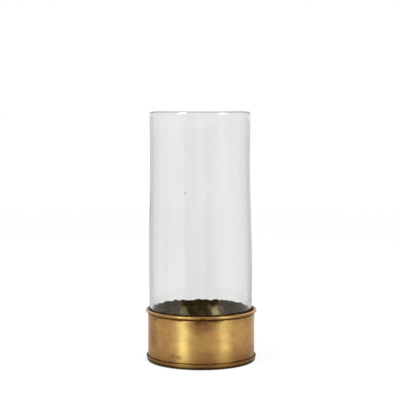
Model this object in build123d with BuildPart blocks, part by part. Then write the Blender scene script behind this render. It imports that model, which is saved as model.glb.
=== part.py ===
"""Hand-blown glass cylinder standing in a round sheet-brass cup base, for flowers or a candle.

The origin is the centre of the felt's underside, which stands on the table, with +Z up.
The cup is a brass band with a wired rim, soldered into a shallow foot pan with a flared lip.
The glass vessel stands loose on the pan's floor and lifts straight up out of the band.
All sizes are in millimetres, and heights in their names count from the table unless they say more.
"""

import os
from math import acos, cos, degrees, radians, sin, tan

from build123d import *

overall_height = 247.5  # table to glass rim

# Glass vessel, blown by hand: straight low down, drawn in to a waist, a little wider at the mouth
glass_foot_diameter = 101.9
glass_waist_draw_in = 1.4  # how much smaller the radius is at the waist than at the foot
glass_mouth_draw_in = 1.2  # how much smaller it is at the mouth
glass_straight_height = 106.0  # end of the straight part, above the vessel's own underside
glass_waist_height = 187.0  # above the vessel's own underside
glass_wall = 3.0
glass_floor = 5.0
glass_kick = 2.2  # how far the middle of the underside is pushed up
glass_standing_ring = 2.5  # width of the flat ring that the vessel stands on
glass_heel_radius = 3.0
glass_inner_corner_radius = 6.0
glass_lip_height = 4.0  # upright stretch under the rim
glass_lip_radius = 1.4  # rounding of the fire-polished rim

# Band, rolled from sheet brass and closed by a brazed butt seam
band_glass_clearance = 1.2  # from the glass to the band, all round
band_sheet = 1.0
band_rise = 50.1  # pan floor to the top of the rolled rim

# Wired rim: the band's top edge is curled outwards round a wire
rim_wire_diameter = 0.85
rim_wire_clearance = 0.125  # between wire and curl
rim_edge_gap = 0.15  # between the raw edge of the curl and the band

# Foot pan, pressed from sheet brass, with a flared lip round the band's foot
pan_sheet = 0.7
pan_lip_height = 4.4  # pan underside to lip edge
pan_flare_angle = 13.0  # lean of the lip from upright, in degrees
pan_inner_corner_radius = 0.3
pan_seat_margin = 0.05  # flat floor left outside the band's foot
pan_edge_radius = 0.25  # rounding of the cut edge of the lip

# Soft solder, run round the inside of the joint between band and pan
solder_leg = 0.8
solder_film = 0.1  # thickness of the film that carries the band

# Felt disc, glued under the foot pan
felt_thickness = 0.8
felt_setback = 2.5  # from the edge of the pan's flat underside

# An edge is never rounded by more than this share of its own thickness
largest_round_share = 0.48

right_angle = 90
half_turn = 180


def rounding(wanted, thickness):
    """An edge radius that its own wall has room for."""
    return min(wanted, thickness * largest_round_share)


os.makedirs("parts", exist_ok=True)

# Radii from the glass outwards
glass_foot_radius = glass_foot_diameter / 2
glass_waist_radius = glass_foot_radius - glass_waist_draw_in
glass_mouth_radius = glass_foot_radius - glass_mouth_draw_in
band_bore_radius = glass_foot_radius + band_glass_clearance
band_radius = band_bore_radius + band_sheet

# Section of the pan: both faces of the sheet bend at the same corner
flare = radians(pan_flare_angle)
corner_reach = tan(radians(right_angle - pan_flare_angle) / 2)  # tangent length over radius
pan_outer_corner_radius = pan_inner_corner_radius + pan_sheet
pan_inner_foot_radius = band_radius + pan_seat_margin + pan_inner_corner_radius * corner_reach
pan_foot_radius = pan_inner_foot_radius + pan_sheet * (1 - sin(flare)) / cos(flare)
pan_lip_radius = pan_foot_radius + pan_lip_height * tan(flare)
pan_inner_lip_radius = pan_lip_radius - pan_sheet / cos(flare)
pan_flat_radius = pan_foot_radius - pan_outer_corner_radius * corner_reach

# Heights from the table upwards
pan_floor_height = felt_thickness + pan_sheet
pan_lip_top = felt_thickness + pan_lip_height

# Felt disc
with BuildPart() as felt_pad:
    with BuildSketch(Plane.XY):
        Circle(pan_flat_radius - felt_setback)
    extrude(amount=felt_thickness)
felt_pad.part.label = "felt_pad"

# Foot pan
with BuildPart() as foot_pan:
    with BuildSketch(Plane.XZ) as pan_section:
        with BuildLine():
            FilletPolyline(
                (0, felt_thickness),
                (pan_foot_radius, felt_thickness),
                (pan_lip_radius, pan_lip_top),
                radius=pan_outer_corner_radius,
            )
            FilletPolyline(
                (0, pan_floor_height),
                (pan_inner_foot_radius, pan_floor_height),
                (pan_inner_lip_radius, pan_lip_top),
                radius=pan_inner_corner_radius,
            )
            Line((0, felt_thickness), (0, pan_floor_height))
            Line((pan_lip_radius, pan_lip_top), (pan_inner_lip_radius, pan_lip_top))
        make_face()
        lip_corners = pan_section.vertices().group_by(Axis.Y)[-1]
        fillet(lip_corners, rounding(pan_edge_radius, pan_sheet))
    revolve(axis=Axis.Z)
foot_pan.part.label = "foot_pan"

# The curl leaves the band upwards and runs over outwards until its raw edge nears the band again
curl_inner_radius = rim_wire_diameter / 2 + rim_wire_clearance
curl_outer_radius = curl_inner_radius + band_sheet
curl_centre_radius = band_radius + curl_inner_radius
curl_centre_height = pan_floor_height + band_rise - curl_outer_radius
raw_edge_angle = degrees(acos((rim_edge_gap - curl_inner_radius) / curl_outer_radius))
curl_sweep = -(half_turn + raw_edge_angle)
band_foot_height = pan_floor_height + solder_film

# Band
with BuildPart() as collar_band:
    with BuildSketch(Plane.XZ):
        with BuildLine():
            curl_centre = (curl_centre_radius, curl_centre_height)
            outer_curl = CenterArc(curl_centre, curl_outer_radius, half_turn, curl_sweep)
            inner_curl = CenterArc(curl_centre, curl_inner_radius, half_turn, curl_sweep)
            Line(outer_curl @ 1, inner_curl @ 1)
            Polyline(
                outer_curl @ 0,
                (band_bore_radius, band_foot_height),
                (band_radius, band_foot_height),
                inner_curl @ 0,
            )
        make_face()
    revolve(axis=Axis.Z)
collar_band.part.label = "collar_band"

# Wire inside the rolled rim
with BuildPart() as rim_wire:
    with BuildSketch(Plane.XZ):
        with Locations((curl_centre_radius, curl_centre_height)):
            Circle(rim_wire_diameter / 2)
    revolve(axis=Axis.Z)
rim_wire.part.label = "rim_wire"

# Solder fillet in the inside corner
with BuildPart() as solder_fillet:
    with BuildSketch(Plane.XZ):
        with BuildLine():
            corner = (band_bore_radius, pan_floor_height)
            wall_end = (band_bore_radius, pan_floor_height + solder_leg)
            floor_end = (band_bore_radius - solder_leg, pan_floor_height)
            Polyline(wall_end, corner, floor_end, close=True)
        make_face()
    revolve(axis=Axis.Z)
solder_fillet.part.label = "solder_fillet"

# Heights along the glass
straight_top = pan_floor_height + glass_straight_height
waist_height = pan_floor_height + glass_waist_height
lip_foot = overall_height - glass_lip_height
glass_inside_floor = pan_floor_height + glass_floor
standing_ring_radius = glass_foot_radius - glass_heel_radius - glass_standing_ring


def glass_side(inset):
    """Draw the side that narrows to the waist and widens to the lip, inset from the outer face."""
    ends = (
        (glass_foot_radius - inset, straight_top),
        (glass_waist_radius - inset, waist_height),
        (glass_mouth_radius - inset, lip_foot),
    )
    for (low_radius, low), (high_radius, high) in zip(ends, ends[1:]):
        middle = (low + high) / 2
        Bezier((low_radius, low), (low_radius, middle), (high_radius, middle), (high_radius, high))


# Glass vessel
with BuildPart() as glass_vessel:
    with BuildSketch(Plane.XZ):
        with BuildLine():
            kick_top = (0, pan_floor_height + glass_kick)
            kick_edge = (standing_ring_radius, pan_floor_height)
            TangentArc(kick_top, kick_edge, tangent=(1, 0))
            FilletPolyline(
                kick_edge,
                (glass_foot_radius, pan_floor_height),
                (glass_foot_radius, straight_top),
                radius=glass_heel_radius,
            )
            glass_side(0)
            FilletPolyline(
                (glass_mouth_radius, lip_foot),
                (glass_mouth_radius, overall_height),
                (glass_mouth_radius - glass_wall, overall_height),
                (glass_mouth_radius - glass_wall, lip_foot),
                radius=rounding(glass_lip_radius, glass_wall),
            )
            glass_side(glass_wall)
            FilletPolyline(
                (0, glass_inside_floor),
                (glass_foot_radius - glass_wall, glass_inside_floor),
                (glass_foot_radius - glass_wall, straight_top),
                radius=glass_inner_corner_radius,
            )
            Line(kick_top, (0, glass_inside_floor))
        make_face()
    revolve(axis=Axis.Z)
glass_vessel.part.label = "glass_vessel"

for piece in (felt_pad, foot_pan, collar_band, rim_wire, solder_fillet, glass_vessel):
    export_step(piece.part, f"parts/{piece.part.label}.step")
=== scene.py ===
"""The looks of a hand-blown glass cylinder that stands loose in a cup of aged brass.

The glass, the band, the foot pan and the felt get finely modelled pieces in place of their plain
solids. The rim wire and the solder keep their solids and get materials. Lengths are in metres,
+Z is up, and the photograph looks along +Y, so the front of the object is its -Y side.
"""

from math import acos, atan2, cos, degrees, exp, hypot, pi, radians, sin, tan
from random import Random

import bmesh
import bpy
from mathutils import Matrix, Vector, noise


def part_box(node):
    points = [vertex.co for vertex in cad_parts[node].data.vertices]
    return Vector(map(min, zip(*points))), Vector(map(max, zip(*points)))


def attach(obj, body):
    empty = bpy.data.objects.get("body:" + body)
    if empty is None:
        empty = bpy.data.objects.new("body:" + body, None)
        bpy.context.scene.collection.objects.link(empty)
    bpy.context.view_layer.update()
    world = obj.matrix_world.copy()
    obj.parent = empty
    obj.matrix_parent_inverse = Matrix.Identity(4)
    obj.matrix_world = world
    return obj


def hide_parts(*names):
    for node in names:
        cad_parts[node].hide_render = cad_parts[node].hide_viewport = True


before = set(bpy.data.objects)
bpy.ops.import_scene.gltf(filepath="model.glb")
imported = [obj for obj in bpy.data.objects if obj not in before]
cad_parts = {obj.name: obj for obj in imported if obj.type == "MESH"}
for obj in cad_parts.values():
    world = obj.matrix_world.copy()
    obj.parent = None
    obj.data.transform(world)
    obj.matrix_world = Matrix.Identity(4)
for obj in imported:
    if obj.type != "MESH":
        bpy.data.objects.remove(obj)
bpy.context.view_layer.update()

MM = 0.001

# Sizes that the frame doesn't give by itself
WIRE_CLEARANCE = 0.125 * MM
BAND_SHEET = 1.0 * MM
BAND_EDGE_GAP = 0.15 * MM
PAN_SHEET = 0.7 * MM
PAN_INNER_CORNER = 0.3 * MM
PAN_FLARE = radians(13)
GLASS_WALL = 3.0 * MM
GLASS_FLOOR = 5.0 * MM
GLASS_KICK = 2.2 * MM
GLASS_STANDING_RING = 2.5 * MM
GLASS_HEEL = 3.0 * MM
GLASS_INNER_CORNER = 6.0 * MM
GLASS_LIP = 1.4 * MM
GLASS_WAIST_DRAW_IN = 1.4 * MM
GLASS_MOUTH_DRAW_IN = 1.2 * MM
GLASS_STRAIGHT = 106 * MM
GLASS_WAIST = 187 * MM

# Heights and radii from the frame
glass_low, glass_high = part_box("glass_vessel")
GLASS_WAIST_RADIUS = glass_high.x - GLASS_WAIST_DRAW_IN
GLASS_MOUTH_RADIUS = glass_high.x - GLASS_MOUTH_DRAW_IN
band_low, band_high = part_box("collar_band")
pan_low, pan_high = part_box("foot_pan")
wire_low, wire_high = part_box("rim_wire")
felt_low, felt_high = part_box("felt_pad")
CURL_INNER = (wire_high.z - wire_low.z) / 2 + WIRE_CLEARANCE
CURL_OUTER = CURL_INNER + BAND_SHEET
CURL_CENTRE = band_high.x - CURL_OUTER
CURL_HEIGHT = band_high.z - CURL_OUTER
CURL_FOOT = CURL_HEIGHT - CURL_OUTER
BAND_RADIUS = CURL_CENTRE - CURL_INNER
BAND_BORE = BAND_RADIUS - BAND_SHEET

# Fineness of the meshes
GLASS_ROW_PITCH = 1.3 * MM  # where the glass has chill marks
GLASS_CALM_PITCH = 2.6 * MM  # above them
GLASS_FLOOR_PITCH = 4 * GLASS_ROW_PITCH
GLASS_SEGMENTS = 300
BRASS_ROW_PITCH = 1.6 * MM
BRASS_SEGMENTS = 240
SEAM_STEPS = 4  # sections added to each side of the band's seam
PAN_FLAT_PITCH = 8 * MM
PAN_LIP_PITCH = 1.0 * MM
PAN_FIRST_SHARE = 1 / 8  # the innermost ring's share of the flat radius
FELT_PITCH = 4 * MM
FELT_FIRST_SHARE = 1 / 12
FELT_SEGMENTS = 180

# Each kind of unevenness has a noise field of its own, this many lumps from the next
FIELD_SPACING = 17.3
WAVES, OUTER_DIMPLES, INNER_DIMPLES, RIM_WAVES, DENTS, ROLL_MARKS, RAGGED, FRAY, RUNS = range(1, 10)

# Unevenness of hand-blown glass: slow waves that both faces share, and dimples of each face.
# The dimples are chill marks, deep low down where the gather met the cold mould, faint above.
WAVE_SIZE = 42 * MM
WAVE_DEPTH = 0.5 * MM
DIMPLE_SIZE = 2.6 * MM
DIMPLE_DEPTH = 0.06 * MM
DIMPLE_FAINT = 0.006 * MM
CHILL_TOP = (70 * MM, 82 * MM)  # the dimples fade between these heights
RIM_DIP = 0.5 * MM
DIP_POWER = 8  # of the height, so that only the top dips
WALL_POWER = 8  # of the radius, so that the floor's middle stays flat
CALM_HEIGHT = 60 * MM  # below this the mould kept the vessel nearly true
CALM_SHARE = 0.3  # of the waves is left at the foot

# The vessel stands a little off the cup's middle and leans the same way
STAND_SHIFT = -0.45 * MM
LEAN_SHIFT = -0.8 * MM

# Seeds, the small gas bubbles that stay in hand-blown glass, and one stone, a grain of clay
SEED_COUNT = 26
SEED_DRAW = 7  # where the random draws start
SEED_HEIGHTS = (CALM_HEIGHT, glass_high.z - 10 * MM)
SEED_RADII = (0.12 * MM, 0.32 * MM)
SEED_DEPTHS = (0.4, 0.6)  # as shares of the wall
SEED_STRETCH = (1.1, 2.2)  # they are drawn out upwards
STONE = (-17.3, 169.9 * MM, 0.6 * MM)  # degrees from the front, height and radius
STONE_SLOT = 1  # of the glass's materials

# A dark matt band lies on the glass in the gap round it, up to a ragged edge above the brass rim:
# painted shade of the gap, given as dried polish and wax
DARK_BAND_LOW = band_high.z - 5.0 * MM
DARK_BAND_HIGH = band_high.z + 1.0 * MM
DARK_BAND_RAGGED = 0.8 * MM
DARK_BAND_RUNS = 3.0 * MM  # how far its lower edge ran down in places
DARK_BAND_LUMP = 2.6 * MM
DARK_BAND_RUN_LUMP = 2 * DARK_BAND_LUMP
DARK_BAND_ROWS = (band_high.z - 1.5 * MM, band_high.z + 2.5 * MM)  # here the mesh has finer rows
DARK_BAND_ROW_PITCH = 0.25 * MM

# Hand-worked sheet is pressed in a little here and there
DENT_SIZE = 16 * MM
DENT_DEPTH = 0.22 * MM
DENT_MARGIN = 7 * MM
ROLL_MARK_SIZE = 5 * MM
ROLL_MARK_DEPTH = 0.09 * MM
ROLL_MARK_REACH = 1.0 * MM  # below the curl

# The brazed butt seam of the band, filed nearly flush, at the back
SEAM_TURN = pi / 2
SEAM_WIDTH = 0.9 * MM
SEAM_DEPTH = 0.1 * MM
SEAM_SHARPNESS = 8  # how fast the filed hollow ends beside the seam

# Brass up to this far outside the bore still counts as inside the cup
INSIDE_REACH = 0.3 * MM

# The cut edge of the felt is a little frayed
FRAY_DEPTH = 0.25 * MM
FRAY_LUMP = 1.5 * MM
FRAY_POWER = 40  # of the radius, so that only the edge frays

# Studio, in metres; the levels are radiances, where 1 shows white
FLOOR_SIDE = 60.0
PAPER_EDGE = (0.2, 0.33)  # in front, the paper fades into a dark floor between these distances
DARK_HALF_ANGLE = (34, 42)  # degrees to each side of the front, where the paper comes back
DARK_END = (0.7, 1.2)  # and between these distances the dark ends at a pale rug
RUG_SHARE = 0.45  # of the paper's level
FOOT_SHADE = (0.056, 0.059)  # the mirrored paper goes from dark to light between these radii
PAPER_MIRRORED = (0.5, 0.68)  # its levels at the sides and behind
LIGHTER_BEHIND = (110, 145)  # degrees to each side of the front, from the one level to the other
GLOW_REACH = (0.3, 2.2)
GLOW_LEVELS = (0.83, 0.9)  # of the paper as the camera sees it, at those distances
# The paper's painted shadow where the foot meets it
CONTACT_REACH = 1.3 * MM  # of the dark line where the foot meets the paper
CONTACT_SHARES = (0.3, 0.7)  # of open surroundings, between which it fades
ROOM_LEVEL = 0.5
ROOM_MIRRORED = 0.75
BACKDROP_WAYS = (0.55, 0.9)  # Y of the direction, from the mirrored room to the backdrop
CEILING_LEVEL = 0.35
CEILING_WAYS = (0.45, 0.8)  # Z of the direction, from the backdrop to the ceiling
WHITE = "#FFFFFF"
COOL_WHITE = "#DFFBFF"

# Lamps: name, degrees from the camera's side towards +X, distance, width, height, lower edge,
# level and colour. Two tall softboxes, two low panels on each side, and soft light from behind.
SOFTBOXES = (
    ("key", -40, 0.95, 0.33, 1.2, 0.27, 10.0, COOL_WHITE),
    ("fill", 51, 1.0, 0.42, 1.1, 0.27, 4.7, COOL_WHITE),
    ("left panel", -71, 0.5, 0.65, 0.26, 0.0, 0.12, WHITE),
    ("left inner panel", -46, 0.52, 0.5, 0.26, 0.0, 0.08, WHITE),
    ("right panel", 71, 0.5, 0.65, 0.26, 0.0, 0.15, WHITE),
    ("right inner panel", 46, 0.52, 0.5, 0.26, 0.0, 0.13, WHITE),
    ("back left", -140, 1.2, 0.8, 1.2, 0.3, 0.45, WHITE),
    ("back right", 140, 1.2, 0.8, 1.2, 0.3, 0.6, WHITE),
)

# Camera
CAMERA_DISTANCE = 1.168
CAMERA_SIDE = -1.2 * MM
CAMERA_PITCH = radians(4.3)
FOCAL_PIXELS = 1180
IMAGE_PIXELS = 400
SENSOR = 36


def arc(centre, radius, start, end, steps):
    """Points of an arc in the half section, from one angle to another, in degrees."""
    angles = [radians(start + (end - start) * i / steps) for i in range(steps + 1)]
    return [(centre[0] + radius * cos(a), centre[1] + radius * sin(a)) for a in angles]


def rows(start, end, pitch):
    """Points from start up to, and without, end, spaced by about the pitch."""
    length = Vector(end) - Vector(start)
    count = max(1, round(length.length / pitch))
    return [tuple(Vector(start) + length * i / count) for i in range(count)]


def even_turns(count):
    """Angles of the half sections round the axis."""
    return [2 * pi * i / count for i in range(count)]


def lathe(name, outline, turns, shift):
    """A closed mesh of revolution; shift(radius, height, angle) gives each point its own place."""
    points, rings, faces = [], [], []
    for radius, height in outline:
        around = turns if radius > 0 else turns[:1]
        rings.append([len(points) + i for i in range(len(around))])
        for angle in around:
            moved, level = shift(radius, height, angle)
            points.append((moved * cos(angle), moved * sin(angle), level))
    closed = outline[0][0] > 0
    pairs = zip(rings, rings[1:] + rings[:1]) if closed else zip(rings, rings[1:])
    for low, high in pairs:
        for i in range(len(turns)):
            j = (i + 1) % len(turns)
            below = [low[i % len(low)], low[j % len(low)]]
            above = [high[j % len(high)], high[i % len(high)]]
            # At the axis a ring is one point, which a face takes once
            faces.append(list(dict.fromkeys(below + above)))
    mesh = bpy.data.meshes.new(name)
    mesh.from_pydata(points, [], faces)
    mesh.validate()
    mesh.shade_smooth()
    piece = bpy.data.objects.new(name, mesh)
    bpy.context.scene.collection.objects.link(piece)
    return piece


def lump(radius, height, angle, size, field):
    """Smooth noise from about -1 to 1 on the surface, with lumps of the given size."""
    place = Vector((radius * cos(angle), radius * sin(angle), height)) / size
    return noise.noise(place + Vector((field, field, field)) * FIELD_SPACING)


def depth_share(radius, height, angle, size, field):
    """The same noise from about 0 to 1, as the share of a depth that is reached."""
    return 0.5 + 0.5 * lump(radius, height, angle, size, field)


def ease(share):
    """0 to 1 with a soft start and end."""
    share = min(1, max(0, share))
    return share * share * (3 - 2 * share)


# Glass vessel


def glass_side(inset):
    """Upright side of the vessel, from the end of its straight part to the lip."""
    floor = glass_low.z
    stations = [
        (glass_high.x - inset, floor + GLASS_STRAIGHT),
        (GLASS_WAIST_RADIUS - inset, floor + GLASS_WAIST),
        (GLASS_MOUTH_RADIUS - inset, glass_high.z - GLASS_LIP),
    ]
    side = []
    for (low_radius, low), (high_radius, high) in zip(stations, stations[1:]):
        for _, height in rows((low_radius, low), (high_radius, high), GLASS_CALM_PITCH):
            share = ease((height - low) / (high - low))
            side.append((low_radius + (high_radius - low_radius) * share, height))
    return side


def upright(radius, low, high):
    """Rows up the straight part of a face, closer together where it has chill marks."""
    chilled = CHILL_TOP[1]
    marked = rows((radius, low), (radius, chilled), GLASS_ROW_PITCH)
    return marked + rows((radius, chilled), (radius, high), GLASS_CALM_PITCH)


def glass_outline():
    """Half section of the vessel, from the middle of its underside to the middle of its floor."""
    floor, foot = glass_low.z, glass_high.x
    ring = foot - GLASS_HEEL - GLASS_STANDING_RING
    inner = foot - GLASS_WALL
    inside_floor = floor + GLASS_FLOOR
    straight_top = floor + GLASS_STRAIGHT
    dome_radius = (ring**2 + GLASS_KICK**2) / (2 * GLASS_KICK)
    dome_centre = (0, floor + GLASS_KICK - dome_radius)
    edge_angle = degrees(atan2(dome_radius - GLASS_KICK, ring))
    outline = [(0, floor + GLASS_KICK)]
    outline += arc(dome_centre, dome_radius, 90, edge_angle, 12)[1:]
    outline += arc((foot - GLASS_HEEL, floor + GLASS_HEEL), GLASS_HEEL, -90, 0, 10)[:-1]
    heel = floor + GLASS_HEEL
    fine_low, fine_high = DARK_BAND_ROWS
    outline += rows((foot, heel), (foot, fine_low), GLASS_ROW_PITCH)
    outline += rows((foot, fine_low), (foot, fine_high), DARK_BAND_ROW_PITCH)
    outline += upright(foot, fine_high, straight_top)
    outline += glass_side(0)
    lip_height = glass_high.z - GLASS_LIP
    outline += arc((GLASS_MOUTH_RADIUS - GLASS_LIP, lip_height), GLASS_LIP, 0, 90, 8)
    inner_lip = GLASS_MOUTH_RADIUS - GLASS_WALL + GLASS_LIP
    outline += arc((inner_lip, lip_height), GLASS_LIP, 90, 180, 8)
    outline += reversed(glass_side(GLASS_WALL))
    corner = (inner - GLASS_INNER_CORNER, inside_floor + GLASS_INNER_CORNER)
    outline += reversed(upright(inner, corner[1], straight_top))
    outline += arc(corner, GLASS_INNER_CORNER, 0, -90, 12)[1:]
    outline += rows((corner[0], inside_floor), (0, inside_floor), GLASS_FLOOR_PITCH)[1:]
    outline.append((0, inside_floor))
    return outline


def blow(radius, height, angle):
    """Moves a point of the vessel as the blower's tools and breath left it."""
    outer = radius > GLASS_WAIST_RADIUS - GLASS_WALL / 2
    above = height - glass_low.z
    climb = above / (glass_high.z - glass_low.z)
    standing = ease((above - GLASS_HEEL) / GLASS_HEEL)
    free = CALM_SHARE + (1 - CALM_SHARE) * ease(above / CALM_HEIGHT)
    wave = lump(GLASS_WAIST_RADIUS, height, angle, WAVE_SIZE, WAVES) * WAVE_DEPTH * free
    fade = ease((height - CHILL_TOP[0]) / (CHILL_TOP[1] - CHILL_TOP[0]))
    depth = DIMPLE_DEPTH + (DIMPLE_FAINT - DIMPLE_DEPTH) * fade
    field = OUTER_DIMPLES if outer else INNER_DIMPLES
    dimple = lump(radius, height, angle, DIMPLE_SIZE, field) * depth
    wall = min(1, radius / GLASS_WAIST_RADIUS) ** WALL_POWER
    dip = RIM_DIP * depth_share(GLASS_WAIST_RADIUS, 0, angle, WAVE_SIZE, RIM_WAVES)
    return radius + (wave + dimple) * standing * wall, height - dip * climb**DIP_POWER


def add_void(form, angle, height, size, depth, stretch, slot=0):
    """A closed void inside the wall, whose faces look out of the glass and so inwards."""
    middle = blow(GLASS_WAIST_RADIUS, height, angle)[0] - depth
    place = Matrix.Translation((middle * cos(angle), middle * sin(angle), height))
    long = Matrix.Diagonal((size, size, size * stretch, 1))
    made = bmesh.ops.create_icosphere(form, subdivisions=2, radius=1, matrix=place @ long)
    skin = {face for vert in made["verts"] for face in vert.link_faces}
    bmesh.ops.reverse_faces(form, faces=list(skin))
    for face in skin:
        face.smooth = True
        face.material_index = slot


def add_seeds(mesh):
    """The bubbles in the wall, and the stone."""
    draw = Random(SEED_DRAW)
    form = bmesh.new()
    form.from_mesh(mesh)
    angle, height, size = STONE
    add_void(form, radians(angle - 90), height, size, GLASS_WALL / 2, 1.0, STONE_SLOT)
    for _ in range(SEED_COUNT):
        height = draw.uniform(*SEED_HEIGHTS)
        angle, size = draw.uniform(0, 2 * pi), draw.uniform(*SEED_RADII)
        depth = GLASS_WALL * draw.uniform(*SEED_DEPTHS)
        add_void(form, angle, height, size, depth, draw.uniform(*SEED_STRETCH))
    form.to_mesh(mesh)
    form.free()


def make_glass():
    """The vessel, with its waves, its seeds and the way that it leans."""
    vessel = lathe("blown_glass", glass_outline(), even_turns(GLASS_SEGMENTS), blow)
    add_seeds(vessel.data)
    for vertex in vessel.data.vertices:
        climb = (vertex.co.z - glass_low.z) / (glass_high.z - glass_low.z)
        vertex.co.x += STAND_SHIFT + LEAN_SHIFT * climb
    return vessel


def in_gap(place):
    """Whether a face of the glass is an outer one in the gap or just above it."""
    x, y, z = place
    angle = atan2(y, x)
    outer = hypot(x, y) > glass_high.x - GLASS_WALL / 2
    ragged = DARK_BAND_RAGGED * lump(glass_high.x, z, angle, DARK_BAND_LUMP, RAGGED)
    runs = DARK_BAND_RUNS * lump(glass_high.x, 0, angle, DARK_BAND_RUN_LUMP, RUNS)
    return outer and z + ragged < DARK_BAND_HIGH and z + runs > DARK_BAND_LOW


# Brass cup


def dent(radius, height, angle):
    """Presses the wall in between its stiff ends, the wired rim and the foot in its pan."""
    reach = min(CURL_FOOT - height, height - pan_high.z) / DENT_MARGIN
    share = depth_share(BAND_RADIUS, height, angle, DENT_SIZE, DENTS)
    return radius - DENT_DEPTH * share * ease(reach), height


def work_band(radius, height, angle):
    """Dents, the marks of rolling the rim, and the filed seam."""
    out, up = radius - CURL_CENTRE, height - CURL_HEIGHT
    outer = hypot(out, up) > (CURL_INNER + CURL_OUTER) / 2
    if outer and height > CURL_FOOT - ROLL_MARK_REACH:
        share = depth_share(CURL_CENTRE, height, angle, ROLL_MARK_SIZE, ROLL_MARKS)
        pressed = 1 - ROLL_MARK_DEPTH * share / CURL_OUTER
        radius, height = CURL_CENTRE + out * pressed, CURL_HEIGHT + up * pressed
    beside = (angle - SEAM_TURN) * BAND_RADIUS / SEAM_WIDTH
    if radius > BAND_RADIUS - BAND_SHEET / 2:
        radius -= SEAM_DEPTH * exp(-SEAM_SHARPNESS * beside**2)
    return dent(radius, height, angle)


def make_band():
    """The rolled and wired band, with finer sections at its seam."""
    gap_angle = degrees(acos((BAND_EDGE_GAP - CURL_INNER) / CURL_OUTER))
    centre = (CURL_CENTRE, CURL_HEIGHT)
    outline = rows((BAND_BORE, band_low.z), (BAND_BORE, CURL_HEIGHT), BRASS_ROW_PITCH)
    outline += arc(centre, CURL_OUTER, 180, -gap_angle, 28)
    outline += arc(centre, CURL_INNER, -gap_angle, 180, 22)
    outline += reversed(
        rows((BAND_RADIUS, band_low.z), (BAND_RADIUS, CURL_HEIGHT), BRASS_ROW_PITCH)
    )
    seam_step = SEAM_WIDTH / BAND_RADIUS / SEAM_STEPS
    steps = range(-SEAM_STEPS, SEAM_STEPS + 1)
    seam_turns = [SEAM_TURN + seam_step * step for step in steps if step]
    turns = sorted(even_turns(BRASS_SEGMENTS) + seam_turns)
    return lathe("brass_band", list(reversed(outline)), turns, work_band)


def as_pressed(radius, height, angle):
    """Leaves a point of the pan where the press put it."""
    return radius, height


def make_pan():
    """The pressed pan, with a rounded cut edge on its flared lip."""
    reach = tan((pi / 2 - PAN_FLARE) / 2)
    outer_corner = PAN_INNER_CORNER + PAN_SHEET
    foot = pan_high.x - (pan_high.z - pan_low.z) * tan(PAN_FLARE)
    flare = degrees(PAN_FLARE)
    centre = (foot - outer_corner * reach, pan_low.z + outer_corner)
    first = centre[0] * PAN_FIRST_SHARE
    floor = pan_low.z + PAN_SHEET
    lean = Vector((sin(PAN_FLARE), cos(PAN_FLARE)))
    thick = Vector((-cos(PAN_FLARE), sin(PAN_FLARE))) * PAN_SHEET
    lip_end = Vector((pan_high.x, pan_high.z)) - lean * PAN_SHEET / 2
    outer_end = Vector(arc(centre, outer_corner, -90, -flare, 1)[-1])
    inner_end = outer_end + thick
    outline = [(0, pan_low.z)]
    outline += rows((first, pan_low.z), (centre[0], pan_low.z), PAN_FLAT_PITCH)
    outline += arc(centre, outer_corner, -90, -flare, 8)
    outline += rows(outer_end, lip_end, PAN_LIP_PITCH)[1:]
    outline += arc(lip_end + thick / 2, PAN_SHEET / 2, -flare, 180 - flare, 10)
    outline += reversed(rows(inner_end, lip_end + thick, PAN_LIP_PITCH))
    outline += arc(centre, PAN_INNER_CORNER, -flare, -90, 6)[1:]
    outline += reversed(rows((first, floor), (centre[0], floor), PAN_FLAT_PITCH))
    outline.append((0, floor))
    return lathe("brass_pan", outline, even_turns(BRASS_SEGMENTS), as_pressed)


def in_cup(place):
    """Whether a face of the brass is inside the cup."""
    x, y, z = place
    return hypot(x, y) < BAND_BORE + INSIDE_REACH and z > pan_low.z + PAN_SHEET / 2


# Felt


def fray(radius, height, angle):
    """Draws the cut edge of the felt in here and there."""
    loss = FRAY_DEPTH * depth_share(radius, height, angle, FRAY_LUMP, FRAY)
    return radius - loss * (radius / felt_high.x) ** FRAY_POWER, height


def make_felt():
    """The felt disc, with its cut edge rounded and a little frayed."""
    radius, low, high = felt_high.x, felt_low.z, felt_high.z
    first = radius * FELT_FIRST_SHARE
    edge = (high - low) / 2
    outline = [(0, low)]
    outline += rows((first, low), (radius - edge, low), FELT_PITCH)
    outline += arc((radius - edge, low + edge), edge, -90, 90, 8)
    outline += reversed(rows((first, high), (radius - edge, high), FELT_PITCH))
    outline.append((0, high))
    return lathe("felt_disc", outline, even_turns(FELT_SEGMENTS), fray)


# Materials


def srgb(code, alpha=1.0):
    """A colour for a shader from its sRGB hex code."""
    parts = [int(code[i : i + 2], 16) / 255 for i in (1, 3, 5)]
    linear = [p / 12.92 if p <= 0.04045 else ((p + 0.055) / 1.055) ** 2.4 for p in parts]
    return (*linear, alpha)


def add(tree, kind, **values):
    """Add a node. Values set its properties and its sockets, named with _ for each space.

    A socket given as a value is linked, and a node by its first output. Input n is written as
    in_n. A colour Mix has its share at input 0, its colours at 6 and 7, and its result at output 2.
    """
    node = tree.nodes.new("ShaderNode" + kind)
    for key, value in values.items():
        if hasattr(node, key):
            setattr(node, key, value)
            continue
        name = int(key[3:]) if key.startswith("in_") else key.replace("_", " ")
        socket = node.inputs[name]
        if isinstance(value, bpy.types.Node):
            value = value.outputs[0]
        if isinstance(value, bpy.types.NodeSocket):
            tree.links.new(value, socket)
        else:
            socket.default_value = value
    return node


def new_material(name):
    """An empty material and its node tree."""
    material = bpy.data.materials.new(name)
    material.use_nodes = True
    material.node_tree.nodes.clear()
    return material, material.node_tree


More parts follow.
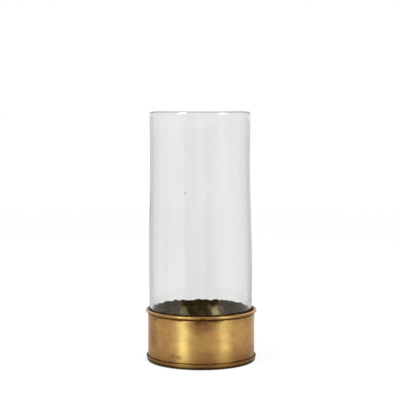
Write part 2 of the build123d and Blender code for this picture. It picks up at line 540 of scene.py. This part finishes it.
def blown_glass():
    """Soda-lime glass, blown by hand: clear, smooth from the fire, a little grey in the wall.

    A thin film of dust and dried water dims both faces, in soft upright runs.
    """
    material, tree = new_material("blown soda-lime glass")
    place = add(tree, "TexCoord").outputs["Object"]
    # Water ran down and dried in runs about 9 mm wide
    upright = add(tree, "VectorMath", operation="MULTIPLY", in_0=place, in_1=(1.0, 1.0, 0.06))
    runs = add(tree, "TexNoise", Vector=upright, Scale=1 / (9 * MM), Detail=3.0)
    film = add(tree, "MapRange", Value=runs, From_Min=0.35, From_Max=0.65)
    colour = add(
        tree, "Mix", data_type="RGBA", in_0=film, in_6=srgb("#F9F9F8"), in_7=srgb("#F6F6F5")
    )
    # Painted shade on the lip: it turns darker grey, most on its +X side
    axes = add(tree, "SeparateXYZ", in_0=place)
    lip_shade_side = add(
        tree,
        "MapRange",
        Value=axes.outputs["X"],
        From_Min=-GLASS_MOUTH_RADIUS / 2,
        From_Max=GLASS_MOUTH_RADIUS,
    )
    lip_shade = add(
        tree, "Mix", data_type="RGBA", in_0=lip_shade_side, in_6=srgb("#B4B4B0"), in_7=srgb("#8C8C88")
    )
    lip = add(
        tree,
        "MapRange",
        Value=axes.outputs["Z"],
        From_Min=glass_high.z - 1.6 * MM,
        From_Max=glass_high.z - 0.9 * MM,
    )
    lip_shaded = add(
        tree, "Mix", data_type="RGBA", in_0=lip, in_6=colour.outputs[2], in_7=lip_shade.outputs[2]
    )
    surface = add(
        tree,
        "BsdfPrincipled",
        Base_Color=lip_shaded.outputs[2],
        Roughness=0.0,
        IOR=1.5,
        Transmission_Weight=1.0,
    )
    body = add(tree, "VolumeAbsorption", Color=srgb("#E7E8E7"), Density=9.0)
    add(tree, "OutputMaterial", Surface=surface, Volume=body)
    return material


def pot_clay():
    """A grain of fired clay that came off the melting pot: brown, rough and opaque."""
    material, tree = new_material("fired pot clay")
    place = add(tree, "TexCoord").outputs["Object"]
    grog = add(tree, "TexNoise", Vector=place, Scale=1 / (0.3 * MM))
    colour = add(
        tree, "Mix", data_type="RGBA", in_0=grog, in_6=srgb("#120E0A"), in_7=srgb("#3A3028")
    )
    surface = add(tree, "BsdfPrincipled", Base_Color=colour.outputs[2], Roughness=0.8)
    add(tree, "OutputMaterial", Surface=surface)
    return material


def polish_and_gap_shade():
    """Dark brown, crumbly and matt, given as brass polish and wax dried in the gap round the glass;
    where it shows above the rim it is painted shade of the gap.
    """
    material, tree = new_material("dried brass polish")
    place = add(tree, "TexCoord").outputs["Object"]
    crumbs = add(tree, "TexNoise", Vector=place, Scale=1 / (1.2 * MM), Detail=4.0)
    colour = add(
        tree, "Mix", data_type="RGBA", in_0=crumbs, in_6=srgb("#140B02"), in_7=srgb("#4A3216")
    )
    relief = add(tree, "Bump", Strength=0.6, Distance=0.1 * MM, Height=crumbs)
    surface = add(
        tree,
        "BsdfPrincipled",
        Base_Color=colour.outputs[2],
        Roughness=0.9,
        Specular_IOR_Level=0.1,
        Normal=relief,
    )
    add(tree, "OutputMaterial", Surface=surface)
    return material


# The outlines of zones stray by up to a third of this, in lumps of this size
ZONE_DRIFT = 9 * MM
ZONE_LUMP = 8 * MM

# Past this radius lie the bead and the foot's lip, and not the band's wall
OFF_WALL = BAND_RADIUS + 0.7 * MM

# Zones of the band: degrees from the front, height, half width, half height and strength.
# Most are stains; the rows marked below are painted shade.
STAINS_AND_SHADE = (
    (-27, 11.5 * MM, 9 * MM, 4 * MM, 0.65),
    # Painted shade under the bead in front, with some stain: this row and the next
    (-1, 46.8 * MM, 9 * MM, 3.4 * MM, 1.0),
    (15, 46.8 * MM, 8 * MM, 2.4 * MM, 0.7),
    (-56, 46.5 * MM, 1.6 * MM, 2.0 * MM, 0.7),
    (-62, 47.5 * MM, 9 * MM, 5 * MM, 0.6),
    # Painted shade that dims the key lamp's highlight on the bead
    (-17, 51 * MM, 8 * MM, 3 * MM, 0.65),
    # Painted shade, darker towards the foot in front
    (3, 10 * MM, 15 * MM, 9 * MM, 0.35),
    (-2, 43 * MM, 16 * MM, 8 * MM, 0.45),
    (72, 10 * MM, 10 * MM, 9 * MM, 0.35),
    (-68, 28 * MM, 11 * MM, 40 * MM, 0.5),
    (112, 12 * MM, 8 * MM, 4 * MM, 0.5),
    (135, 42 * MM, 18 * MM, 8 * MM, 0.4),
    (172, 46 * MM, 13 * MM, 5 * MM, 0.6),
    (-140, 15 * MM, 9 * MM, 4 * MM, 0.4),
    (-120, 12 * MM, 14 * MM, 10 * MM, 0.35),
    (-98, 45 * MM, 9 * MM, 4 * MM, 0.5),
)
# Rubbed to yellow; the front rows, from -23 to 45 degrees, lie under the lamps' streaks and are a
# painted highlight
WORN_GOLD_AND_STREAK_TINT = (
    (-23, 30 * MM, 9 * MM, 22 * MM, 1.0),
    (24, 43 * MM, 13 * MM, 6 * MM, 1.0),
    (30, 24 * MM, 8 * MM, 8 * MM, 1.0),
    (45, 33 * MM, 8 * MM, 11 * MM, 1.0),
    (-110, 26 * MM, 12 * MM, 15 * MM, 1.0),
    (105, 32 * MM, 10 * MM, 13 * MM, 1.0),
    (160, 20 * MM, 14 * MM, 9 * MM, 1.0),
)
# Inside the cup, pale patches: the two on the back wall, at 162 and -159 degrees, are painted
# highlights where the lamps' reflections fall; the others are rubbed clean by fingers
RUBBED_AND_HIGHLIGHT_PATCHES = (
    (162, 37 * MM, 5 * MM, 7 * MM, 1.0),
    (-159, 38 * MM, 5 * MM, 7 * MM, 0.8),
    (20, 30 * MM, 9 * MM, 8 * MM, 0.8),
    (-70, 34 * MM, 7 * MM, 7 * MM, 0.7),
)


def unroll(tree, place):
    """The angle of a point from the front, round the axis, and its height."""
    axes = add(tree, "SeparateXYZ", in_0=place)
    ahead = add(tree, "Math", operation="MULTIPLY", in_0=axes.outputs["Y"], in_1=-1.0)
    turn = add(tree, "Math", operation="ARCTAN2", in_0=axes.outputs["X"], in_1=ahead)
    return turn, axes.outputs["Z"]


def zones(tree, place, table):
    """How far a point lies inside the uneven zones of a table, from 0 to the zone's strength."""
    turn, height = unroll(tree, place)
    along = add(tree, "Math", operation="MULTIPLY", in_0=turn, in_1=BAND_RADIUS)
    flat = add(tree, "CombineXYZ", X=along, Y=height)
    drift = add(tree, "TexNoise", Vector=place, Scale=1 / ZONE_LUMP, Detail=3.0)
    strayed = add(
        tree,
        "VectorMath",
        operation="MULTIPLY_ADD",
        in_0=drift.outputs["Color"],
        in_1=(ZONE_DRIFT, ZONE_DRIFT, 0),
        in_2=flat,
    )
    mask = None
    for angle, level, half_width, half_height, strength in table:
        middle = (radians(angle) * BAND_RADIUS + ZONE_DRIFT / 2, level + ZONE_DRIFT / 2, 0)
        scale = (1 / half_width, 1 / half_height, 1)
        aside = add(tree, "VectorMath", operation="SUBTRACT", in_0=strayed, in_1=middle)
        share = add(tree, "VectorMath", operation="MULTIPLY", in_0=aside, in_1=scale)
        far = add(tree, "VectorMath", operation="LENGTH", in_0=share)
        zone = add(
            tree,
            "MapRange",
            interpolation_type="SMOOTHSTEP",
            Value=far.outputs["Value"],
            From_Min=1.5,
            From_Max=0.3,
            To_Max=strength,
        )
        if mask is not None:
            zone = add(tree, "Math", operation="MAXIMUM", in_0=mask, in_1=zone)
        mask = zone
    return mask


def clouded_gold(tree, place, blot):
    """Colour of the brass: clouds of copper red on gold, yellower where hands rubbed it, and a
    painted highlight that makes it yellower where the lamps' streaks fall in front.
    """
    cloud = add(tree, "TexNoise", Vector=place, Scale=1 / (30 * MM), Detail=3.0)
    red = add(tree, "MapRange", Value=cloud, From_Min=0.46, From_Max=0.66, To_Max=0.55)
    tone = add(tree, "Mix", data_type="RGBA", in_0=red, in_6=srgb("#E2AF67"), in_7=srgb("#C98C5B"))
    rubbed = add(tree, "MapRange", Value=blot, From_Min=0.3, From_Max=0.6, To_Min=0.3, To_Max=0.9)
    worn_and_streak_tint = add(tree, "Math", operation="MULTIPLY", in_0=zones(tree, place, WORN_GOLD_AND_STREAK_TINT), in_1=rubbed)
    gold_and_streak_tint = add(
        tree, "Mix", data_type="RGBA", in_0=worn_and_streak_tint, in_6=tone.outputs[2], in_7=srgb("#E3BA70")
    )
    return gold_and_streak_tint.outputs[2]


def brown_patina_and_shade(tree, place, blot, radius, height, on_wall):
    """How brown the brass is, from 0 to 1: browned by age and stained, with painted shade in its
    creases, under the curl, towards the foot and on the foot's lower edge.
    """
    # Stains, each a ragged patch, with the painted shade of some rows of the table
    ragged = add(tree, "MapRange", Value=blot, From_Min=0.3, From_Max=0.6, To_Min=0.65)
    stain_and_shade = add(tree, "Math", operation="MULTIPLY", in_0=zones(tree, place, STAINS_AND_SHADE), in_1=ragged)

    # Deep in the crease under the rim and in the one along the foot, with edges that wander:
    # brown of age with painted shade, as both creases lie in shade
    wander = add(
        tree, "MapRange", Value=blot, From_Min=0.3, From_Max=0.7, To_Min=-0.6 * MM, To_Max=0.6 * MM
    )
    level = add(tree, "Math", operation="ADD", in_0=height, in_1=wander)
    crease = add(
        tree,
        "MapRange",
        interpolation_type="SMOOTHSTEP",
        Value=level,
        From_Min=CURL_FOOT - 2.6 * MM,
        From_Max=CURL_FOOT - 0.6 * MM,
    )
    groove = add(
        tree,
        "MapRange",
        interpolation_type="SMOOTHSTEP",
        Value=level,
        From_Min=pan_high.z + 2.2 * MM,
        From_Max=pan_high.z + 0.4 * MM,
    )
    deep = add(tree, "Math", operation="MAXIMUM", in_0=crease, in_1=groove)
    deep_on_wall = add(tree, "Math", operation="MULTIPLY", in_0=deep, in_1=on_wall)

    # Painted shade, with some grime, on the underside of the curl
    under_curl = add(
        tree,
        "MapRange",
        Value=height,
        From_Min=CURL_HEIGHT - 0.5 * MM,
        From_Max=CURL_HEIGHT - 1.2 * MM,
        To_Max=0.95,
    )
    at_curl = add(tree, "Math", operation="GREATER_THAN", in_0=height, in_1=CURL_FOOT - 0.3 * MM)
    curl_shade = add(tree, "Math", operation="MULTIPLY", in_0=under_curl, in_1=at_curl)

    # Soft darkenings: the measure, where it is clear, where it is full, and how brown it gets there.
    # Below the rim it darkens towards the rim. Along the foot it is painted shade, and low on the
    # lip it is painted shade of where the foot meets the floor. On the bead and the lip it is
    # browning by age.
    hazes = (
        (level, CURL_FOOT - 12 * MM, CURL_FOOT, 0.2),  # below the rim
        (level, pan_high.z + 15 * MM, pan_high.z, 0.6),  # along the foot
        (radius, OFF_WALL, OFF_WALL + 0.5 * MM, 0.38),  # on the bead and the foot's lip
        (height, pan_low.z + 2.3 * MM, pan_low.z + 1.4 * MM, 1.0),  # low on the lip
    )
    parts = [deep_on_wall, curl_shade]
    for measure, clear, full, strength in hazes:
        haze = add(tree, "MapRange", Value=measure, From_Min=clear, From_Max=full, To_Max=strength)
        parts.append(haze)
    patina_and_shade = stain_and_shade
    for part in parts:
        patina_and_shade = add(tree, "Math", operation="MAXIMUM", in_0=patina_and_shade, in_1=part)
    return patina_and_shade


def aged_brass():
    """Sheet brass, polished round on a lathe, then aged and waxed.

    The polish leaves fine lines round the cup, so lamps show as upright streaks. Age has clouded
    the gold with copper red, browned the creases and stained it in places, and hands have rubbed it
    back to yellow where they hold it. Painted shade darkens the creases, the underside of the curl,
    the wall towards the foot and the foot's lower edge, and a painted highlight makes the brass
    yellower where the lamps' streaks fall in front.
    """
    material, tree = new_material("aged sheet brass")
    place = add(tree, "TexCoord").outputs["Object"]
    turn, height = unroll(tree, place)
    level_place = add(tree, "VectorMath", operation="MULTIPLY", in_0=place, in_1=(1, 1, 0))
    radius = add(tree, "VectorMath", operation="LENGTH", in_0=level_place).outputs["Value"]
    on_wall = add(tree, "MapRange", Value=radius, From_Min=OFF_WALL, From_Max=OFF_WALL - 0.5 * MM)
    blot = add(tree, "TexNoise", Vector=place, Scale=1 / (7 * MM), Detail=5.0, Distortion=0.4)

    # Cloudy marks of wiping and handling, longer round the cup than up it
    wide = add(tree, "VectorMath", operation="MULTIPLY", in_0=place, in_1=(1.0, 1.0, 1.9))
    broad = add(tree, "TexNoise", Vector=wide, Scale=1 / (11 * MM), Detail=2.0)
    wiped = add(
        tree, "MapRange", Value=broad, From_Min=0.33, From_Max=0.67, To_Min=0.91, To_Max=1.05
    )
    small = add(tree, "TexNoise", Vector=wide, Scale=1 / (2.5 * MM), Detail=3.0)
    handled = add(
        tree, "MapRange", Value=small, From_Min=0.33, From_Max=0.67, To_Min=0.97, To_Max=1.03
    )
    both = add(tree, "Math", operation="MULTIPLY", in_0=wiped, in_1=handled)
    # Gold, with a painted highlight making it yellower under the lamps' streaks in front
    gold_and_streak_tint = clouded_gold(tree, place, blot)
    mottled = add(tree, "VectorMath", operation="SCALE", in_0=gold_and_streak_tint, Scale=both)

    # Brown of age and stains, with painted shade in the creases, under the curl and towards the foot
    patina_and_shade = brown_patina_and_shade(tree, place, blot, radius, height, on_wall)
    brown = add(tree, "Mix", data_type="RGBA", in_0=patina_and_shade, in_6=mottled, in_7=srgb("#5A3208"))

    # The seam at the back, a line of paler brazing metal
    from_back = add(tree, "Math", operation="ABSOLUTE", in_0=turn)
    seam = add(
        tree,
        "MapRange",
        Value=from_back,
        From_Min=pi - SEAM_WIDTH / BAND_RADIUS,
        From_Max=pi - SEAM_WIDTH / BAND_RADIUS / 2,
        To_Max=0.6,
    )
    outside = add(tree, "Math", operation="MULTIPLY", in_0=seam, in_1=on_wall)
    brazed = add(
        tree, "Mix", data_type="RGBA", in_0=outside, in_6=brown.outputs[2], in_7=srgb("#D9C48C")
    )

    # Polishing lines about 0.1 mm apart, drawn 0.4 mm apart so that they show
    along = add(tree, "Math", operation="MULTIPLY", in_0=turn, in_1=BAND_RADIUS)
    line_height = add(tree, "Math", operation="DIVIDE", in_0=height, in_1=0.4 * MM)
    line_along = add(tree, "Math", operation="DIVIDE", in_0=along, in_1=16 * MM)
    line_place = add(tree, "CombineXYZ", X=line_along, Y=line_height)
    lines = add(tree, "TexNoise", Vector=line_place, Scale=1.0, Detail=3.0)
    relief = add(tree, "Bump", Strength=0.25, Distance=0.012 * MM, Height=lines)
    dull = add(tree, "MapRange", Value=patina_and_shade, To_Min=0.32, To_Max=0.46)
    uneven = add(tree, "Math", operation="MULTIPLY", in_0=broad, in_1=0.1)
    rough = add(tree, "Math", operation="ADD", in_0=dull, in_1=uneven)
    tangent = add(tree, "Tangent", direction_type="RADIAL", axis="Z")
    surface = add(
        tree,
        "BsdfPrincipled",
        Base_Color=brazed.outputs[2],
        Metallic=1.0,
        Roughness=rough,
        Anisotropic=0.85,
        Anisotropic_Rotation=0.25,
        Tangent=tangent,
        Normal=relief,
        Coat_Weight=0.08,
        Coat_Roughness=0.35,
    )
    add(tree, "OutputMaterial", Surface=surface)
    return material


def bare_brass():
    """The same sheet inside the cup, where nobody polished it: dull, brown, scored by the rolls, and
    with painted highlights as pale patches on its back wall.
    """
    material, tree = new_material("unpolished sheet brass")
    place = add(tree, "TexCoord").outputs["Object"]
    # Pale patches: painted highlights on the back wall, and spots rubbed clean
    clean = zones(tree, place, RUBBED_AND_HIGHLIGHT_PATCHES)
    wide = add(tree, "VectorMath", operation="MULTIPLY", in_0=place, in_1=(1.0, 1.0, 2.0))
    dirt = add(tree, "TexNoise", Vector=wide, Scale=1 / (8 * MM), Detail=4.0)
    brown = add(tree, "MapRange", Value=dirt, From_Min=0.3, From_Max=0.6)
    dull = add(
        tree, "Mix", data_type="RGBA", in_0=brown, in_6=srgb("#8D7450"), in_7=srgb("#5E4829")
    )
    colour = add(
        tree, "Mix", data_type="RGBA", in_0=clean, in_6=dull.outputs[2], in_7=srgb("#CDB083")
    )
    # Marks of the rolls are about 0.1 mm apart, drawn 0.6 mm apart so that they show
    long = add(tree, "VectorMath", operation="MULTIPLY", in_0=place, in_1=(0.03, 0.03, 1.0))
    marks = add(tree, "TexNoise", Vector=long, Scale=1 / (0.6 * MM), Detail=2.0)
    scored = add(tree, "Bump", Strength=0.5, Distance=0.03 * MM, Height=marks)
    tangent = add(tree, "Tangent", direction_type="RADIAL", axis="Z")
    surface = add(
        tree,
        "BsdfPrincipled",
        Base_Color=colour.outputs[2],
        Metallic=1.0,
        Roughness=0.4,
        Anisotropic=1.0,
        Anisotropic_Rotation=0.25,
        Tangent=tangent,
        Normal=scored,
    )
    add(tree, "OutputMaterial", Surface=surface)
    return material


def pressed_felt():
    """Wool felt, pressed and dyed dark brown: short fibres that lie all ways, and a little lint."""
    material, tree = new_material("pressed wool felt")
    place = add(tree, "TexCoord").outputs["Object"]
    # Fibres are 0.03 mm thick, drawn 0.3 mm thick so that they show
    fibres = add(tree, "TexNoise", Vector=place, Scale=1 / (0.6 * MM), Detail=4.0, Distortion=2.5)
    lint = add(tree, "TexVoronoi", Vector=place, Scale=1 / (3 * MM), feature="SMOOTH_F1")
    tone = add(
        tree, "Mix", data_type="RGBA", in_0=fibres, in_6=srgb("#15110E"), in_7=srgb("#3A322B")
    )
    speck = add(tree, "MapRange", Value=lint, From_Min=0.16, From_Max=0.06)
    colour = add(
        tree, "Mix", data_type="RGBA", in_0=speck, in_6=tone.outputs[2], in_7=srgb("#6B6055")
    )
    nap = add(tree, "Bump", Strength=0.7, Distance=0.15 * MM, Height=fibres)
    surface = add(
        tree,
        "BsdfPrincipled",
        Base_Color=colour.outputs[2],
        Roughness=0.95,
        Sheen_Weight=0.35,
        Sheen_Roughness=0.5,
        Normal=nap,
    )
    add(tree, "OutputMaterial", Surface=surface)
    return material


def drawn_wire():
    """Mild steel wire, drawn through a die, with specks of rust from the years in the rim."""
    material, tree = new_material("drawn steel wire")
    place = add(tree, "TexCoord").outputs["Object"]
    spots = add(tree, "TexNoise", Vector=place, Scale=1 / (1.2 * MM), Detail=5.0)
    rusty = add(tree, "MapRange", Value=spots, From_Min=0.5, From_Max=0.66)
    colour = add(
        tree, "Mix", data_type="RGBA", in_0=rusty, in_6=srgb("#77736E"), in_7=srgb("#5A3A24")
    )
    clean = add(tree, "MapRange", Value=rusty, To_Min=1.0, To_Max=0.2)
    rough = add(tree, "MapRange", Value=rusty, To_Min=0.35, To_Max=0.8)
    pits = add(tree, "Bump", Strength=0.4, Distance=0.03 * MM, Height=spots)
    surface = add(
        tree,
        "BsdfPrincipled",
        Base_Color=colour.outputs[2],
        Metallic=clean,
        Roughness=rough,
        Normal=pits,
    )
    add(tree, "OutputMaterial", Surface=surface)
    return material


def tin_solder():
    """Soft solder: dull grey, frosted as it set, with brown flux left beside it."""
    material, tree = new_material("tin solder")
    place = add(tree, "TexCoord").outputs["Object"]
    frost = add(tree, "TexVoronoi", Vector=place, Scale=1 / (0.5 * MM))
    flow = add(tree, "TexNoise", Vector=place, Scale=1 / (4 * MM), Detail=3.0)
    flux = add(tree, "MapRange", Value=flow, From_Min=0.52, From_Max=0.7, To_Max=0.7)
    colour = add(
        tree, "Mix", data_type="RGBA", in_0=flux, in_6=srgb("#8F8D88"), in_7=srgb("#6B4F31")
    )
    rough = add(tree, "MapRange", Value=frost, To_Min=0.4, To_Max=0.62)
    lumps = add(tree, "Bump", Strength=0.5, Distance=0.1 * MM, Height=flow)
    surface = add(
        tree,
        "BsdfPrincipled",
        Base_Color=colour.outputs[2],
        Metallic=1.0,
        Roughness=rough,
        Normal=lumps,
    )
    add(tree, "OutputMaterial", Surface=surface)
    return material


# Pieces


def dress(piece, material, body, node):
    """Give a piece its material and body, and hide the plain solid of its node."""
    piece.data.materials.append(material)
    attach(piece, body)
    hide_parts(node)


def coat(piece, material, belongs):
    """Give the faces that belong to a part of the surface one more material."""
    piece.data.materials.append(material)
    for face in piece.data.polygons:
        if belongs(face.center):
            face.material_index = len(piece.data.materials) - 1


glass = make_glass()
dress(glass, blown_glass(), "vessel", "glass_vessel")
glass.data.materials.append(pot_clay())
# The dark band round the gap: painted shade, given as dried polish
coat(glass, polish_and_gap_shade(), in_gap)
glass.visible_shadow = False  # clear glass hardly shades what is near it

band, pan = make_band(), make_pan()
brass = aged_brass()
dress(band, brass, "base", "collar_band")
dress(pan, brass, "base", "foot_pan")
unpolished = bare_brass()
coat(band, unpolished, in_cup)
coat(pan, unpolished, in_cup)

felt = make_felt()
dress(felt, pressed_felt(), "base", "felt_pad")

for node, material, slot in (
    ("rim_wire", drawn_wire(), "steel_wire"),
    ("solder_fillet", tin_solder(), "soft_solder"),
):
    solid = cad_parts[node]
    solid.data.materials.clear()
    solid.data.materials.append(material)


# Studio


def softbox(name, azimuth, distance, width, height, bottom, radiance, colour):
    """An upright area lamp that faces the object.

    The object shows it in mirror images, and the glass never shows it through itself.
    """
    lamp = bpy.data.lights.new(name, "AREA")
    lamp.shape = "RECTANGLE"
    lamp.size = width
    lamp.size_y = height
    lamp.energy = radiance * pi * width * height
    lamp.color = srgb(colour)[:3]
    box = bpy.data.objects.new(name, lamp)
    side = radians(azimuth)
    box.location = (distance * sin(side), -distance * cos(side), bottom + height / 2)
    box.rotation_euler = (radians(90), 0, side)
    box.visible_camera = False
    box.visible_transmission = False
    bpy.context.scene.collection.objects.link(box)


def way_of_light(tree):
    """Whether a ray sees a thing straight or through glass, and whether a mirror turned it first."""
    path = add(tree, "LightPath").outputs
    seen = add(
        tree,
        "Math",
        operation="MAXIMUM",
        in_0=path["Is Camera Ray"],
        in_1=path["Is Transmission Ray"],
    )
    turned = add(tree, "Math", operation="GREATER_THAN", in_0=path["Glossy Depth"], in_1=0.5)
    return seen, turned


def make_room():
    """A pale room with a white backdrop behind the object, as the world."""
    world = bpy.data.worlds.new("studio")
    world.use_nodes = True
    tree = world.node_tree
    tree.nodes.clear()
    seen, turned = way_of_light(tree)
    direction = add(tree, "SeparateXYZ", in_0=add(tree, "TexCoord").outputs["Generated"])
    # Straight or through the glass, all is white up to a dimmer ceiling
    start, end = CEILING_WAYS
    backdrop = add(
        tree,
        "MapRange",
        Value=direction.outputs["Z"],
        From_Min=start,
        From_Max=end,
        To_Min=1.0,
        To_Max=CEILING_LEVEL,
    )
    # In mirrors, the white backdrop stands behind and a dimmer room round it
    side, back = BACKDROP_WAYS
    mirrored = add(
        tree,
        "MapRange",
        Value=direction.outputs["Y"],
        From_Min=side,
        From_Max=back,
        To_Min=ROOM_MIRRORED,
        To_Max=1.0,
    )
    straight = add(tree, "Mix", data_type="FLOAT", in_0=seen, in_2=ROOM_LEVEL, in_3=backdrop)
    level = add(tree, "Mix", data_type="FLOAT", in_0=turned, in_2=straight, in_3=mirrored)
    room = add(tree, "Background", Color=srgb(WHITE), Strength=level)
    add(tree, "OutputWorld", Surface=room)
    bpy.context.scene.world = world


def seen_paper(tree, away, seen):
    """The paper as the camera sees it: white, with a painted shadow where the foot meets it.

    The lamps light it near the object, so there it glows less, to come out even.
    """
    matt = add(tree, "BsdfDiffuse", Color=srgb("#7C7C7B"))
    near, far = GLOW_REACH
    near_level, far_level = GLOW_LEVELS
    glow = add(
        tree,
        "MapRange",
        Value=away,
        From_Min=near,
        From_Max=far,
        To_Min=near_level,
        To_Max=far_level,
    )
    # Painted shadow where the foot meets the paper: the glow dims where nearby surfaces enclose it
    nearby = add(tree, "AmbientOcclusion", Distance=CONTACT_REACH, samples=16)
    covered, clear = CONTACT_SHARES
    contact_shadow = add(tree, "MapRange", Value=nearby.outputs["AO"], From_Min=covered, From_Max=clear)
    even = add(tree, "Math", operation="MULTIPLY", in_0=glow, in_1=contact_shadow)
    shown = add(tree, "Math", operation="MULTIPLY", in_0=even, in_1=seen)
    light = add(tree, "Emission", Color=srgb(WHITE), Strength=shown)
    return add(tree, "AddShader", in_0=matt, in_1=light)


def mirrored_paper(tree, place, away):
    """The paper in mirrors: shaded beside the foot, and in front a dark floor and then a rug."""
    turn, _ = unroll(tree, place)
    aside = add(tree, "Math", operation="ABSOLUTE", in_0=turn)
    inner, outer = (radians(angle) for angle in DARK_HALF_ANGLE)
    beside = add(tree, "MapRange", Value=aside, From_Min=inner, From_Max=outer)
    fade, edge = PAPER_EDGE
    close = add(tree, "MapRange", Value=away, From_Min=edge, From_Max=fade)
    dark, pale = DARK_END
    rug = add(tree, "MapRange", Value=away, From_Min=dark, From_Max=pale, To_Max=RUG_SHARE)
    around = add(tree, "Math", operation="MAXIMUM", in_0=beside, in_1=rug)
    paper = add(tree, "Math", operation="MAXIMUM", in_0=around, in_1=close)
    foot, open_floor = FOOT_SHADE
    unshaded = add(tree, "MapRange", Value=away, From_Min=foot, From_Max=open_floor)
    image = add(tree, "Math", operation="MULTIPLY", in_0=paper, in_1=unshaded)
    side_level, back_level = PAPER_MIRRORED
    start, end = (radians(angle) for angle in LIGHTER_BEHIND)
    paper_level = add(
        tree,
        "MapRange",
        Value=aside,
        From_Min=start,
        From_Max=end,
        To_Min=side_level,
        To_Max=back_level,
    )
    bright = add(tree, "Math", operation="MULTIPLY", in_0=image, in_1=paper_level)
    return add(tree, "Emission", Color=srgb(WHITE), Strength=bright)


def make_floor():
    """A pale floor that shows white and keeps the object's shadow."""
    mesh = bpy.data.meshes.new("studio_floor")
    side = FLOOR_SIDE
    corners = [(-side, -side, 0), (side, -side, 0), (side, side, 0), (-side, side, 0)]
    mesh.from_pydata(corners, [], [(0, 1, 2, 3)])
    floor = bpy.data.objects.new("studio_floor", mesh)
    bpy.context.scene.collection.objects.link(floor)
    material, tree = new_material("white paper floor")
    seen, turned = way_of_light(tree)
    place = add(tree, "NewGeometry").outputs["Position"]
    away = add(tree, "VectorMath", operation="LENGTH", in_0=place).outputs["Value"]
    straight = seen_paper(tree, away, seen)
    mirrored = mirrored_paper(tree, place, away)
    shader = add(tree, "MixShader", in_0=turned, in_1=straight, in_2=mirrored)
    add(tree, "OutputMaterial", Surface=shader)
    floor.data.materials.append(material)


def make_camera():
    """A camera level with the glass rim, as far off as the photograph's perspective says."""
    data = bpy.data.cameras.new("camera")
    data.sensor_width = SENSOR
    data.lens = SENSOR * FOCAL_PIXELS / IMAGE_PIXELS
    data.clip_start = 0.01
    camera = bpy.data.objects.new("camera", data)
    camera.location = (CAMERA_SIDE, -CAMERA_DISTANCE, glass_high.z)
    camera.rotation_euler = (pi / 2 - CAMERA_PITCH, 0, 0)
    bpy.context.scene.collection.objects.link(camera)
    bpy.context.scene.camera = camera


for lamp in SOFTBOXES:
    softbox(*lamp)
make_room()
make_floor()
make_camera()
bpy.context.scene.view_settings.view_transform = "Standard"
